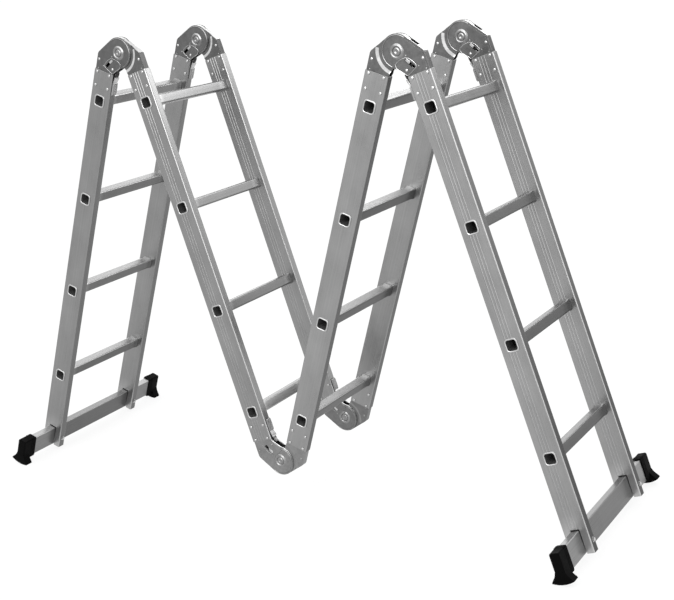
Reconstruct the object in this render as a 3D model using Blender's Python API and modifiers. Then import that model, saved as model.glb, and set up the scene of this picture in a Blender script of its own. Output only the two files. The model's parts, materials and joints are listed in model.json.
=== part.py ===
"""A folding multi position ladder of four sections with four rungs each, standing as an M.

Every section is drawn in its own frame: X across the stile's depth, Y along the rungs,
Z up the stile, with distances s measured down the stile from the level of a top hinge.
Hinge parts are drawn in (u, y, v): u across, with the pivot at u = AXIS_OFFSET on the
side that folds shut, and v from the pivot towards the middle of the stile.
Units are metres.
"""

import math

import bmesh
import bpy
from mathutils import Matrix, Vector

NAME = "multi_position_ladder"

# stance
OUTER_TILT = math.radians(18.75)  # sections 1 and 4 from the vertical
INNER_TILT = math.radians(17.25)  # sections 2 and 3 from the vertical

# stiles
STILE_DEPTH = 0.062
STILE_THICK = 0.0224
STILE_WALL = 0.0017
STILE_CORNER = 0.0025
LADDER_WIDTH = 0.347  # over the stiles' outer faces

# rungs
RUNG_PITCH = 0.280
RUNG_SIZE = 0.027
RUNG_CORNER = 0.005
RUNG_BORE = 0.0238
FIRST_RUNG = 0.141  # pivot level to the nearest rung's centre
LOW_RUNG_RISE = 0.0045  # the lowest rung of an outer section sits this much higher
RIM_SIZE = 0.033
RIM_HEIGHT = 0.0022
COLLAR_SIZE = 0.0305
COLLAR_LENGTH = 0.008
GAP = 0.0003

# hinges
AXIS_OFFSET = 0.0365  # pivot axis from a stile's centreline
HINGE_SPAN = 2 * FIRST_RUNG + 3 * RUNG_PITCH  # between the pivots of an inner section
STILE_END = 0.0610  # where the stile ends, from the pivot level
TONGUE_END = 0.112
LEAF_HALF = 0.0289  # half the leaf's width inside the stile
LEAF_THICK = 0.0182
SHEET = 0.0020
DISC_R = 0.0395
SHOULDER_R = 0.014
TANGENT = math.radians(-141.5)  # where the outer edge meets the disc
CORE_R = 0.0262
SPACER_HALF = 0.0044  # half the thickness of the plate between a plain leaf's cheeks
SPACER_R = 0.0389
WEDGE_V = (-0.0187, -0.0060)  # reach of the plain leaf's upper wall
STEP_INNER_R = 0.0480
STEP_OUTER_R = 0.0520
STEP_START_V = 0.0055
WALL_START_V = 0.0006
PIVOT_R = 0.0060
PIVOT_HEAD_R = 0.0090
PIVOT_HEAD = 0.0014
PIVOT_SIDES = 12
INNER_GAP = 0.00035

# lock bolt and release lever
BOLT_ANGLE = math.radians(123.0)
BOLT_NEAR_R = 0.0285
BOLT_FAR_R = 0.0405
BOLT_HALF = 0.0032
WINDOW_NEAR_R = 0.0278
WINDOW_FAR_R = 0.0560
WINDOW_HALF = 0.0036
LEVER_PIN = (0.0270, 0.0465)
LEVER_PIN_R = 0.0018
LEVER_HALF = 0.0041
PAD_HALF = 0.0080
PAD = (0.0316, 0.0363, 0.0820, 0.1150)  # u from, u to, v from, v to

# stabiliser bars and feet
BAR_DEPTH = 0.020
BAR_HEIGHT = 0.0563
BAR_TOP = 0.1542
BAR_LIFT = 1.0  # the bar's top lies this far plus BAR_TOP below the pivot level
BAR_WALL = 0.0018
BAR_HALF_LENGTH = 0.2945
SLOT_TOP = 1.1518
SLOT_HALF = 0.0115
LEG_END = 1.2125
FOOT_INNER = 0.2545
FOOT_OUTER = 0.3015
SOLE_INNER = 0.2785
SLEEVE_HALF = 0.0128
SLEEVE_CORNER = 0.0035
SLEEVE_TOP = 1.1510
SLEEVE_BOTTOM = 1.2137
SOLE_CENTRE = 1.1545
SOLE_R = 0.0720
SOLE_STEP = math.radians(7.5)
FLARE_START = 1.1960

CUT_OVER = 0.004
WELD = 0.00001
ALONG_Y = Matrix.Rotation(math.pi / 2, 4, "X")  # turns Z, or an extrusion, along Y
SIDES = (("near", -1), ("far", 1))


def clear_scene():
    for thing in list(bpy.data.objects):
        bpy.data.objects.remove(thing, do_unlink=True)


def new_collection(name):
    group = bpy.data.collections.new(name)
    bpy.context.scene.collection.children.link(group)
    return group


def material(name, colour, metallic, roughness):
    mat = bpy.data.materials.new(name)
    mat.use_nodes = True
    shader = mat.node_tree.nodes["Principled BSDF"]
    shader.inputs["Base Color"].default_value = (*colour, 1.0)
    shader.inputs["Metallic"].default_value = metallic
    shader.inputs["Roughness"].default_value = roughness
    return mat


FINISHES = {
    "aluminium": ((0.62, 0.63, 0.64), 1.0, 0.38),
    "steel": ((0.42, 0.43, 0.44), 1.0, 0.42),
    "dark_steel": ((0.10, 0.10, 0.11), 0.8, 0.50),
    "rubber": ((0.02, 0.02, 0.02), 0.0, 0.80),
}


# ---------------------------------------------------------------- outlines


def arc(centre, radius, start, stop, steps):
    """Points on a circle from one angle to another, both ends included."""
    points = []
    for i in range(steps + 1):
        angle = start + (stop - start) * i / steps
        points.append((centre[0] + radius * math.cos(angle), centre[1] + radius * math.sin(angle)))
    return points


def rounded_box(width, height, radius, steps):
    """A rectangle about the origin with rounded corners."""
    points = []
    corners = ((1, 1, 0), (-1, 1, 90), (-1, -1, 180), (1, -1, 270))
    for sx, sy, turn in corners:
        centre = (sx * (width / 2 - radius), sy * (height / 2 - radius))
        start = math.radians(turn)
        points += arc(centre, radius, start, start + math.pi / 2, steps)
    return points


def box_points(x0, x1, y0, y1):
    return [(x0, y0), (x1, y0), (x1, y1), (x0, y1)]


def polar(radius, angle):
    """A point at a radius and an angle about the pivot, in (u, v)."""
    return (AXIS_OFFSET + radius * math.cos(angle), radius * math.sin(angle))


def radial_box(near, far, half):
    """A rectangle lying along the lock bolt's line of travel."""
    across = (-math.sin(BOLT_ANGLE) * half, math.cos(BOLT_ANGLE) * half)
    ends = (polar(near, BOLT_ANGLE), polar(far, BOLT_ANGLE))
    signs = ((0, 1), (0, -1), (1, -1), (1, 1))
    return [(ends[k][0] + s * across[0], ends[k][1] + s * across[1]) for k, s in signs]


def shoulder(inset):
    """The leaf's outer edge from the tongue, over the shoulder, onto the slanted line."""
    side = -LEAF_HALF + SHOULDER_R
    lean = (math.cos(TANGENT), math.sin(TANGENT))
    height = (SHOULDER_R - DISC_R + (side - AXIS_OFFSET) * lean[0]) / -lean[1]
    return arc((side, height), SHOULDER_R - inset, math.pi, math.pi * 2 + TANGENT, 3)


def edge_at(v, inset):
    """The point at height v on the slanted outer edge, moved in by inset."""
    lean = (math.cos(TANGENT), math.sin(TANGENT))
    return (AXIS_OFFSET + (DISC_R - inset - v * lean[1]) / lean[0], v)


def lock_outline():
    points = [(-LEAF_HALF, TONGUE_END)] + shoulder(0.0)
    points += arc((AXIS_OFFSET, 0.0), DISC_R, TANGENT, math.radians(67.0), 14)
    points += [(0.0450, 0.0430), (0.0378, 0.0498), (0.0310, 0.0582)]
    points += [(LEAF_HALF, 0.0615), (LEAF_HALF, TONGUE_END)]
    return points


def plain_outline():
    points = [(-LEAF_HALF, TONGUE_END)] + shoulder(0.0)
    points.append(edge_at(0.0010, 0.0))
    reach = 0.0460
    lift = math.acos(DISC_R / reach)
    upper = math.asin(0.0010 / reach)
    points += arc((AXIS_OFFSET, 0.0), reach, math.pi - upper - 2 * math.pi, TANGENT - lift, 2)
    points += [polar(DISC_R, TANGENT)]
    points += arc((AXIS_OFFSET, 0.0), CORE_R, TANGENT, math.radians(80.0), 12)
    points += [(0.0322, 0.0480), (0.0310, 0.0582), (LEAF_HALF, 0.0615), (LEAF_HALF, TONGUE_END)]
    return points


def spacer_outline():
    """The round plate inside the lock leaf, with an arm to the leaf's outer wall."""
    start, stop = math.radians(138.0), math.radians(390.0)
    points = arc((AXIS_OFFSET, 0.0), SPACER_R, start, stop, 16)
    points += [(0.0170, 0.0200), (0.0095, 0.0315), (0.0000, 0.0400)]
    points += [(SHEET / 2 - LEAF_HALF, 0.0480), (SHEET / 2 - LEAF_HALF, 0.0380)]
    return points


def upper_wall():
    """The wedge between a plain leaf's cheeks, from the spacer out to the slanted edge."""
    low, high = WEDGE_V
    clear = SPACER_R + GAP
    angles = [-math.pi - math.asin(v / clear) for v in WEDGE_V]
    inside = arc((AXIS_OFFSET, 0.0), clear, angles[0], angles[1], 4)
    return [edge_at(high, GAP / 3), edge_at(low, GAP / 3)] + inside


def open_cavity(inset):
    """The hollow behind the outer wall, running out past every open edge."""
    points = [(-LEAF_HALF + inset, TONGUE_END + CUT_OVER)] + shoulder(inset)
    points += [edge_at(WALL_START_V, inset), (-0.060, WALL_START_V)]
    points += [(-0.060, -0.060), (0.090, -0.060), (0.090, TONGUE_END + CUT_OVER)]
    return points


def wide_cavity():
    """The part of a plain leaf's hollow that lies outside the stepped arc."""
    inset = SHEET
    lean = math.acos((DISC_R - inset) / STEP_OUTER_R)
    start = TANGENT - lean + 2 * math.pi
    points = [(-LEAF_HALF + inset, TONGUE_END + CUT_OVER)] + shoulder(inset)
    points += arc((AXIS_OFFSET, 0.0), STEP_OUTER_R, start, math.radians(50.0), 8)
    points += [(0.090, 0.040), (0.090, TONGUE_END + CUT_OVER)]
    return points


# ---------------------------------------------------------------- meshes


def extrusion(outlines, length):
    """A closed mesh from flat outlines in XY, extruded by length along Z about its middle."""
    curve = bpy.data.curves.new("outline", "CURVE")
    curve.dimensions = "2D"
    curve.fill_mode = "BOTH"
    curve.extrude = length / 2
    for points in outlines:
        spline = curve.splines.new("POLY")
        spline.points.add(len(points) - 1)
        spline.use_cyclic_u = True
        for corner, (x, y) in zip(spline.points, points):
            corner.co = (x, y, 0.0, 1.0)
    thing = bpy.data.objects.new("outline", curve)
    bpy.context.scene.collection.objects.link(thing)
    depsgraph = bpy.context.evaluated_depsgraph_get()
    mesh = bpy.data.meshes.new_from_object(thing.evaluated_get(depsgraph))
    bpy.data.objects.remove(thing, do_unlink=True)
    bpy.data.curves.remove(curve)
    bm = bmesh.new()
    bm.from_mesh(mesh)
    bpy.data.meshes.remove(mesh)
    bmesh.ops.remove_doubles(bm, verts=bm.verts, dist=WELD)
    return bm


def block(size, centre, turn=None):
    """A closed box of the given size, turned and then moved to its centre."""
    bm = bmesh.new()
    matrix = Matrix.Translation(centre)
    if turn is not None:
        matrix = matrix @ turn
    bmesh.ops.create_cube(bm, size=1.0, matrix=matrix @ Matrix.Diagonal((*size, 1.0)))
    return bm


def rod(radius, length, sides, centre):
    """A closed cylinder along Y."""
    bm = bmesh.new()
    matrix = Matrix.Translation(centre) @ ALONG_Y
    bmesh.ops.create_cone(
        bm,
        cap_ends=True,
        segments=sides,
        radius1=radius,
        radius2=radius,
        depth=length,
        matrix=matrix,
    )
    return bm


def loft(sections):
    """A closed tube from rings of equal count, each joined to the next and last to first."""
    bm = bmesh.new()
    rings = [[bm.verts.new(point) for point in ring] for ring in sections]
    for low, high in zip(rings, rings[1:] + rings[:1]):
        for i in range(len(low)):
            j = (i + 1) % len(low)
            bm.faces.new((low[i], low[j], high[j], high[i]))
    return bm


def moved(bm, matrix):
    bmesh.ops.transform(bm, matrix=matrix, verts=bm.verts)
    return bm


def merged(pieces):
    """Several closed shapes that stay apart, as one mesh for a cutter."""
    whole = bmesh.new()
    for bm in pieces:
        mesh = finish_mesh(bm, "piece")
        whole.from_mesh(mesh)
        bpy.data.meshes.remove(mesh)
    return whole


def finish_mesh(bm, name):
    bmesh.ops.recalc_face_normals(bm, faces=bm.faces)
    mesh = bpy.data.meshes.new(name)
    bm.to_mesh(mesh)
    bm.free()
    return mesh


def hinge_matrix(side, top, y_centre):
    """From a hinge outline's (u, v) and its thickness to the section's own frame."""
    lift = 0.0 if top else -HINGE_SPAN
    down = -1.0 if top else 1.0
    return Matrix(
        (
            (side, 0.0, 0.0, 0.0),
            (0.0, 0.0, 1.0, y_centre),
            (0.0, down, 0.0, lift),
            (0.0, 0.0, 0.0, 1.0),
        )
    )


# ---------------------------------------------------------------- sections


def direction(tilt):
    """Unit vectors across and down a section, in the world's XZ plane."""
    across = Vector((math.cos(tilt), 0.0, math.sin(tilt)))
    down = Vector((math.sin(tilt), 0.0, -math.cos(tilt)))
    return across, down


def pivots():
    """World positions of the pivots A, B and C."""
    rest_r = SOLE_R * math.cos(SOLE_STEP / 2)
    top = rest_r + SOLE_CENTRE * math.cos(OUTER_TILT) - AXIS_OFFSET * math.sin(OUTER_TILT)
    across, down = direction(INNER_TILT)
    step = 2 * AXIS_OFFSET * across + HINGE_SPAN * down
    return {
        "a": Vector((-step.x, 0.0, top)),
        "b": Vector((0.0, 0.0, top + step.z)),
        "c": Vector((step.x, 0.0, top)),
    }


# section: tilt, pivot it hangs on, side of that pivot, is that pivot at its top
SECTIONS = {
    1: (-OUTER_TILT, "a", 1, True),
    2: (INNER_TILT, "a", -1, True),
    3: (-INNER_TILT, "b", -1, False),
    4: (OUTER_TILT, "c", -1, True),
}

# section, pivot, kind of leaf, side of the pivot, is it at the section's top
LEAVES = (
    (1, "a", "lock", 1, True),
    (2, "a", "plain", -1, True),
    (2, "b", "lock", 1, False),
    (3, "b", "plain", -1, False),
    (3, "c", "plain", 1, True),
    (4, "c", "lock", -1, True),
)


class Builder:
    """Adds parts and cutters under one empty per section."""

    def __init__(self):
        self.parts = new_collection(NAME)
        self.cutters = new_collection("cutters")
        self.cutters.hide_render = True
        self.frames = {}
        self.origins = {}
        world = pivots()
        for number, (tilt, pivot, side, top) in SECTIONS.items():
            frame = bpy.data.objects.new(f"section_{number}_frame", None)
            frame.empty_display_size = 0.05
            frame.location = world[pivot]
            frame.rotation_euler = (0.0, -tilt, 0.0)
            self.parts.objects.link(frame)
            self.frames[number] = frame
            self.origins[number] = hinge_matrix(side, top, 0.0) @ Vector((AXIS_OFFSET, 0.0, 0.0))

    def place(self, name, section, mesh, finish, origin):
        """Put a mesh under its section's empty, origin being in the section's frame."""
        part = bpy.data.objects.new(name, mesh)
        part.data.materials.append(material(name, *FINISHES[finish]))
        self.parts.objects.link(part)
        part.parent = self.frames[section]
        part.location = origin - self.origins[section]
        return part

    def add(self, name, section, bm, finish, origin=None):
        """Finish a shape drawn in the section's frame and place it about its origin."""
        origin = self.origins[section] if origin is None else origin
        bmesh.ops.translate(bm, verts=bm.verts, vec=-origin)
        return self.place(name, section, finish_mesh(bm, name), finish, origin)

    def change(self, part, section, bm, operation="DIFFERENCE"):
        """Cut away, or join on, the closed shape in bm."""
        name = f"{part.name}_{operation.lower()}_{len(part.modifiers)}"
        bmesh.ops.translate(bm, verts=bm.verts, vec=-self.origins[section])
        cutter = bpy.data.objects.new(name, finish_mesh(bm, name))
        self.cutters.objects.link(cutter)
        cutter.parent = self.frames[section]
        cutter.display_type = "WIRE"
        cutter.hide_render = True
        modifier = part.modifiers.new(name, "BOOLEAN")
        modifier.operation = operation
        modifier.solver = "EXACT"
        modifier.object = cutter


def rung_levels(section):
    levels = [FIRST_RUNG + i * RUNG_PITCH for i in range(4)]
    if section in (1, 4):
        levels[3] -= LOW_RUNG_RISE
    return levels


def build_stile(builder, section, label, sign):
    """A hollow stile with a hole through for each rung, slotted below for the bar."""
    y_centre = sign * (LADDER_WIDTH - STILE_THICK) / 2
    bottom = LEG_END if section in (1, 4) else HINGE_SPAN - STILE_END
    outer = rounded_box(STILE_DEPTH, STILE_THICK, STILE_CORNER, 1)
    bore = rounded_box(STILE_DEPTH - 2 * STILE_WALL, STILE_THICK - 2 * STILE_WALL, GAP, 1)
    bm = extrusion((outer, bore), bottom - STILE_END)
    moved(bm, Matrix.Translation((0.0, y_centre, -(bottom + STILE_END) / 2)))
    part = builder.add(f"stile_{section}_{label}", section, bm, "aluminium")
    through = STILE_THICK + 2 * CUT_OVER
    hole = rounded_box(RUNG_SIZE + 2 * GAP, RUNG_SIZE + 2 * GAP, RUNG_CORNER, 1)
    cutters = []
    for level in rung_levels(section):
        place = Matrix.Translation((0.0, y_centre, -level)) @ ALONG_Y
        cutters.append(moved(extrusion((hole,), through), place))
    if section in (1, 4):
        height = LEG_END + CUT_OVER - SLOT_TOP
        centre = (0.0, y_centre, -SLOT_TOP - height / 2)
        cutters.append(block((2 * SLOT_HALF, through, height), centre))
    builder.change(part, section, merged(cutters))


def rung_stations():
    """Place and size of the rung's outside along half of it, from the end inwards."""
    face = LADDER_WIDTH / 2
    inside = face - STILE_THICK
    return (
        (face + RIM_HEIGHT, RIM_SIZE - 0.003),
        (face + GAP, RIM_SIZE),
        (face + GAP, RUNG_SIZE),
        (inside - GAP, RUNG_SIZE),
        (inside - GAP, COLLAR_SIZE),
        (inside - COLLAR_LENGTH, RUNG_SIZE),
    )


def build_rung(builder, section, number, level):
    """A hollow rung swaged tight at both faces of each stile."""
    half = rung_stations()
    stations = [(-y, size) for y, size in half] + [(y, size) for y, size in reversed(half)]
    stations += [(stations[-1][0], RUNG_BORE), (stations[0][0], RUNG_BORE)]
    rings = []
    for y, size in stations:
        outline = rounded_box(size, size, RUNG_CORNER * size / RUNG_SIZE, 1)
        rings.append([Vector((x, y, z - level)) for x, z in outline])
    builder.add(f"rung_{section}_{number}", section, loft(rings), "aluminium")


# ---------------------------------------------------------------- hinges


def ring_points(radius, sides):
    return arc((AXIS_OFFSET, 0.0), radius, 0.0, 2 * math.pi, sides)[:-1]


def both_cheeks(outline, low, high):
    """The same shape on both sides of a leaf, between two distances from its middle."""
    pieces = []
    for sign in (-1, 1):
        shift = Matrix.Translation((0.0, 0.0, sign * (low + high) / 2))
        pieces.append(moved(extrusion((outline,), high - low), shift))
    return merged(pieces)


def build_lock_leaf(builder, leaf, label, y_centre):
    """Two cheeks joined by a wall and a spacer plate, with a window for the lock bolt."""
    section, pivot, _, side, top = leaf
    place = hinge_matrix(side, top, y_centre)
    through = LEAF_THICK + 2 * CUT_OVER
    bm = moved(extrusion((lock_outline(),), LEAF_THICK), place)
    part = builder.add(f"lock_leaf_{pivot}_{label}", section, bm, "steel")
    cavity = extrusion((open_cavity(SHEET),), LEAF_THICK - 2 * SHEET)
    builder.change(part, section, moved(cavity, place))
    spacer = extrusion((spacer_outline(),), 2 * SPACER_HALF)
    builder.change(part, section, moved(spacer, place), "UNION")
    window = radial_box(WINDOW_NEAR_R, WINDOW_FAR_R, WINDOW_HALF)
    hole = ring_points(PIVOT_R + GAP, PIVOT_SIDES)
    cutters = merged([extrusion((window,), through), extrusion((hole,), through)])
    builder.change(part, section, moved(cutters, place))


def build_plain_leaf(builder, leaf, label, y_centre):
    """The leaf that turns inside a lock leaf, stepped in round an arc to fit there."""
    section, pivot, _, side, top = leaf
    place = hinge_matrix(side, top, y_centre)
    half = LEAF_THICK / 2
    level = half - SHEET - INNER_GAP  # outer face of the cheeks inside the lock leaf
    bm = moved(extrusion((plain_outline(),), LEAF_THICK), place)
    part = builder.add(f"plain_leaf_{pivot}_{label}", section, bm, "steel")
    for outline in (ring_points(STEP_INNER_R, 24), box_points(-0.06, 0.09, -0.06, STEP_START_V)):
        builder.change(part, section, moved(both_cheeks(outline, level, half + CUT_OVER), place))
    narrow = extrusion((open_cavity(SHEET + GAP),), 2 * (level - SHEET))
    builder.change(part, section, moved(narrow, place))
    wall = extrusion((upper_wall(),), 2 * level - SHEET)
    builder.change(part, section, moved(wall, place), "UNION")
    wide = extrusion((wide_cavity(),), LEAF_THICK - 2 * SHEET)
    builder.change(part, section, moved(wide, place))
    hole = extrusion((ring_points(PIVOT_R + GAP, PIVOT_SIDES),), LEAF_THICK + 2 * CUT_OVER)
    builder.change(part, section, moved(hole, place))


def build_pivot(builder, leaf, label, y_centre):
    """A rivet through both leaves, turned about its own axis."""
    section, pivot, _, side, top = leaf
    seat = LEAF_THICK / 2 + GAP
    crown = seat + PIVOT_HEAD
    upper = ((0.0, crown), (PIVOT_HEAD_R, crown), (PIVOT_HEAD_R, seat), (PIVOT_R, seat))
    profile = list(upper) + [(r, -z) for r, z in reversed(upper)]
    bm = bmesh.new()
    points = [bm.verts.new((r, 0.0, z)) for r, z in profile]
    for low, high in zip(points, points[1:]):
        bm.edges.new((low, high))
    mesh = bpy.data.meshes.new(f"pivot_{pivot}_{label}")
    bm.to_mesh(mesh)
    bm.free()
    centre = hinge_matrix(side, top, y_centre) @ Vector((AXIS_OFFSET, 0.0, 0.0))
    part = builder.place(f"pivot_{pivot}_{label}", section, mesh, "steel", centre)
    part.rotation_euler = (math.pi / 2, 0.0, 0.0)
    screw = part.modifiers.new("turn", "SCREW")
    screw.axis = "Z"
    screw.steps = PIVOT_SIDES
    screw.render_steps = PIVOT_SIDES
    screw.use_merge_vertices = True
    screw.merge_threshold = WELD


def build_bolt(builder, leaf, label, y_centre):
    """A flat bolt lying across the leaf in its radial window."""
    section, pivot, _, side, top = leaf
    place = hinge_matrix(side, top, y_centre)
    middle = polar((BOLT_NEAR_R + BOLT_FAR_R) / 2, BOLT_ANGLE)
    size = (BOLT_FAR_R - BOLT_NEAR_R, 2 * BOLT_HALF, LEAF_THICK)
    bm = moved(block(size, (*middle, 0.0), Matrix.Rotation(BOLT_ANGLE, 4, "Z")), place)
    origin = place @ Vector((*middle, 0.0))
    builder.add(f"bolt_{pivot}_{label}", section, bm, "steel", origin)


def lever_outline():
    """The arm from the bolt past its pin, then out of the leaf and along the stile."""
    points = [(0.0112, 0.0388), (0.0137, 0.0350), (0.0285, 0.0425), (0.0335, 0.0455)]
    points += [(0.0395, 0.0520), (0.0395, 0.0590), (0.0378, 0.0670), (0.0350, 0.0740)]
    points += [(0.0350, 0.0850), (0.0320, 0.0850), (0.0320, 0.0735), (0.0345, 0.0650)]
    points += [(0.0345, 0.0600), (0.0300, 0.0545), (0.0240, 0.0500)]
    return points


def build_lever(builder, leaf, label, y_centre):
    """The release lever: an arm on a pin, with a pad to pull beside the stile."""
    section, pivot, _, side, top = leaf
    place = hinge_matrix(side, top, y_centre)
    origin = place @ Vector((*LEVER_PIN, 0.0))
    bm = moved(extrusion((lever_outline(),), 2 * LEVER_HALF), place)
    part = builder.add(f"lever_{pivot}_{label}", section, bm, "dark_steel", origin)
    pin_length = LEAF_THICK - 2 * (SHEET + GAP)
    builder.change(part, section, rod(LEVER_PIN_R, pin_length, 10, origin), "UNION")
    u0, u1, v0, v1 = PAD
    size = (u1 - u0, v1 - v0, 2 * PAD_HALF)
    pad = block(size, ((u0 + u1) / 2, (v0 + v1) / 2, 0.0))
    builder.change(part, section, moved(pad, place), "UNION")


BUILD_LEAF = {"lock": build_lock_leaf, "plain": build_plain_leaf}


# ---------------------------------------------------------------- stabilisers


def build_bar(builder, section):
    """The hollow bar across the foot of an outer section."""
    middle = BAR_LIFT + BAR_TOP + BAR_HEIGHT / 2
    outer = rounded_box(BAR_DEPTH, BAR_HEIGHT, 0.002, 1)
    bore = rounded_box(BAR_DEPTH - 2 * BAR_WALL, BAR_HEIGHT - 2 * BAR_WALL, 0.0008, 1)
    bm = moved(extrusion((outer, bore), 2 * BAR_HALF_LENGTH), ALONG_Y)
    moved(bm, Matrix.Translation((0.0, 0.0, -middle)))
    builder.add(f"bar_{section}", section, bm, "aluminium")


def sole_outline():
    """The flared sole in (x, z); one of its facets lies flat on the floor."""
    start, stop = math.pi / 2 - 3 * SOLE_STEP, math.pi / 2 + 3 * SOLE_STEP
    points = arc((0.0, SOLE_CENTRE), SOLE_R, start, stop, 6)
    points += [(-0.0160, 1.2070), (GAP - SLEEVE_HALF, FLARE_START)]
    points += [(SLEEVE_HALF - GAP, FLARE_START), (0.0160, 1.2070)]
    return [(x, -s) for x, s in points]


def sleeve_outline():
    """The sleeve's section in (x, z), rounded along its top edges."""
    side = SLEEVE_HALF - SLEEVE_CORNER
    top = SLEEVE_TOP + SLEEVE_CORNER
    points = arc((-side, top), SLEEVE_CORNER, math.pi, 1.5 * math.pi, 2)
    points += arc((side, top), SLEEVE_CORNER, 1.5 * math.pi, 2 * math.pi, 2)
    points += [(SLEEVE_HALF, SLEEVE_BOTTOM), (-SLEEVE_HALF, SLEEVE_BOTTOM)]
    return [(x, -s) for x, s in points]


def between(x_half, y0, y1, s0, s1):
    """A box between two distances along Y and two down the stile."""
    size = (2 * x_half, abs(y1 - y0), s1 - s0)
    return block(size, (0.0, (y0 + y1) / 2, -(s0 + s1) / 2))


def build_foot(builder, section, label, sign):
    """A rubber foot: a sleeve over the bar's end with a flared sole under its outer part."""
    middle = sign * (SOLE_INNER + FOOT_OUTER) / 2
    sole = moved(extrusion((sole_outline(),), FOOT_OUTER - SOLE_INNER), ALONG_Y)
    moved(sole, Matrix.Translation((0.0, middle, 0.0)))
    part = builder.add(f"foot_{section}_{label}", section, sole, "rubber")
    sleeve = moved(extrusion((sleeve_outline(),), FOOT_OUTER - GAP - FOOT_INNER), ALONG_Y)
    moved(sleeve, Matrix.Translation((0.0, sign * (FOOT_OUTER - GAP + FOOT_INNER) / 2, 0.0)))
    builder.change(part, section, sleeve, "UNION")
    top = BAR_LIFT + BAR_TOP - GAP
    mouth, back = sign * (FOOT_INNER - CUT_OVER), sign * (BAR_HALF_LENGTH + GAP)
    pocket = between(BAR_DEPTH / 2 + GAP, mouth, back, top, top + BAR_HEIGHT + 2 * GAP)
    builder.change(part, section, pocket)


def build():
    clear_scene()
    builder = Builder()
    for section in SECTIONS:
        for label, sign in SIDES:
            build_stile(builder, section, label, sign)
        for number, level in enumerate(rung_levels(section), 1):
            build_rung(builder, section, number, level)
    for leaf in LEAVES:
        for label, sign in SIDES:
            y_centre = sign * (LADDER_WIDTH - STILE_THICK) / 2
            BUILD_LEAF[leaf[2]](builder, leaf, label, y_centre)
            if leaf[2] == "lock":
                build_pivot(builder, leaf, label, y_centre)
                build_bolt(builder, leaf, label, y_centre)
                build_lever(builder, leaf, label, y_centre)
    for section in (1, 4):
        build_bar(builder, section)
        for label, sign in SIDES:
            build_foot(builder, section, label, sign)


build()
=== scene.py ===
"""Looks for the folding multi position ladder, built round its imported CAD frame."""

import json
import math

import bmesh
import bpy
from mathutils import Matrix, Vector


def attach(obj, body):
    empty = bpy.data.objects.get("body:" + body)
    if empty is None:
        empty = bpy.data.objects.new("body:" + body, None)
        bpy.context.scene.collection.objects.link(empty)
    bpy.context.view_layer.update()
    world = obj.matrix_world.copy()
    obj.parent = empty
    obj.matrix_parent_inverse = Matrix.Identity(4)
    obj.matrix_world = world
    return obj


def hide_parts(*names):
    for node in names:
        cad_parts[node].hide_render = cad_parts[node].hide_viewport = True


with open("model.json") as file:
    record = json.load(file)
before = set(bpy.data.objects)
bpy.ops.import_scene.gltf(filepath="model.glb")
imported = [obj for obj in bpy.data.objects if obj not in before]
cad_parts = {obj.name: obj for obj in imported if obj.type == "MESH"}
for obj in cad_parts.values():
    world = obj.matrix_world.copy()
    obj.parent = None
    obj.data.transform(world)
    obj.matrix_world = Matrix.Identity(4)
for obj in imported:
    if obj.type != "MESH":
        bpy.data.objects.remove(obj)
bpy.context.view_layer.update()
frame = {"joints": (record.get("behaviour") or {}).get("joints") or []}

# ------------------------------------------------------------ dimensions in metres
OUTER_TILT = math.radians(18.75)
INNER_TILT = math.radians(17.25)
STILE_DEPTH = 0.062
STILE_THICK = 0.0224
STILE_WALL = 0.0017
STILE_CORNER = 0.0032
RUNG_HOLE_HALF = 0.0138
RUNG_HOLE_CORNER = 0.0050
LADDER_WIDTH = 0.347
FACE = LADDER_WIDTH / 2
INSIDE = FACE - STILE_THICK
MIDDLE = FACE - STILE_THICK / 2
RUNG_PITCH = 0.280
FIRST_RUNG = 0.141
LOW_RUNG_RISE = 0.0045
HINGE_SPAN = 2 * FIRST_RUNG + 3 * RUNG_PITCH
AXIS_OFFSET = 0.0365
AXIS = (AXIS_OFFSET, 0.0)
STILE_END = 0.0610
LEG_END = 1.2125
SLOT_TOP = 1.1518
SLOT_HALF = 0.0115
TONGUE_END = 0.112
LEAF_HALF = 0.0289
LEAF_Y = 0.0091
SHEET = 0.0020
DISC_R = 0.0395
SHOULDER_R = 0.014
TANGENT = math.radians(-141.5)
CORE_R = 0.0262
SPACER_R = 0.0389
SPACER_HALF = 0.0044
PIVOT_HOLE_R = 0.0063
STEP_R = 0.0468
STEP_END = 0.0060
STEP_WIDTH = 0.0072
INNER_GAP = 0.00035
LOCK_WALL_START = 0.0032
PLAIN_WALL_START = 0.0006
WEDGE_START = -0.0187
WEDGE_END = 0.0016
WINDOW_NEAR_R = 0.0278
WINDOW_FAR_R = 0.0560
WINDOW_HALF = 0.0036
BOLT_NEAR_R = 0.0285
BOLT_FAR_R = 0.0405
BOLT_HALF = 0.0032
LEVER_PIN = (0.027, 0.0465)
SHOULDER_RIVET = (-0.0205, 0.0340)
TONGUE_RIVET = (-0.0200, 0.0580)
SHOULDER_HEAD = (0.0034, 0.0015)
SMALL_HEAD = (0.0021, 0.0009)
BOLT_ANGLE = math.radians(123.0)
BAR_TOP = 1.1542
BAR_DEPTH = 0.020
BAR_HEIGHT = 0.0563
BAR_WALL = 0.0018
BAR_HALF_LENGTH = 0.2945
SCREW_LEVEL = 1.1840
SOLE_CENTRE = 1.1545
SOLE_R = 0.0720
FOOT_INNER = 0.2545
FOOT_OUTER = 0.3015
SOLE_INNER = 0.2785
SLEEVE_TOP = 1.1510
SLEEVE_BOTTOM = 1.2137
SLEEVE_HALF = 0.0128
POCKET_HALF = 0.0103

# Each corner of a rounded box is turned in this many steps.
CORNER_STEPS = 4
# Cutters run this far from the middle of a plate, past both of its faces.
THROUGH = 0.02
# Cutters of a leaf's outline end here, clear of its widest point.
CLEAR_LEFT, CLEAR_RIGHT, CLEAR_ABOVE = -0.060, 0.090, -0.060
CLEAR_TONGUE = TONGUE_END + 0.004

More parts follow.
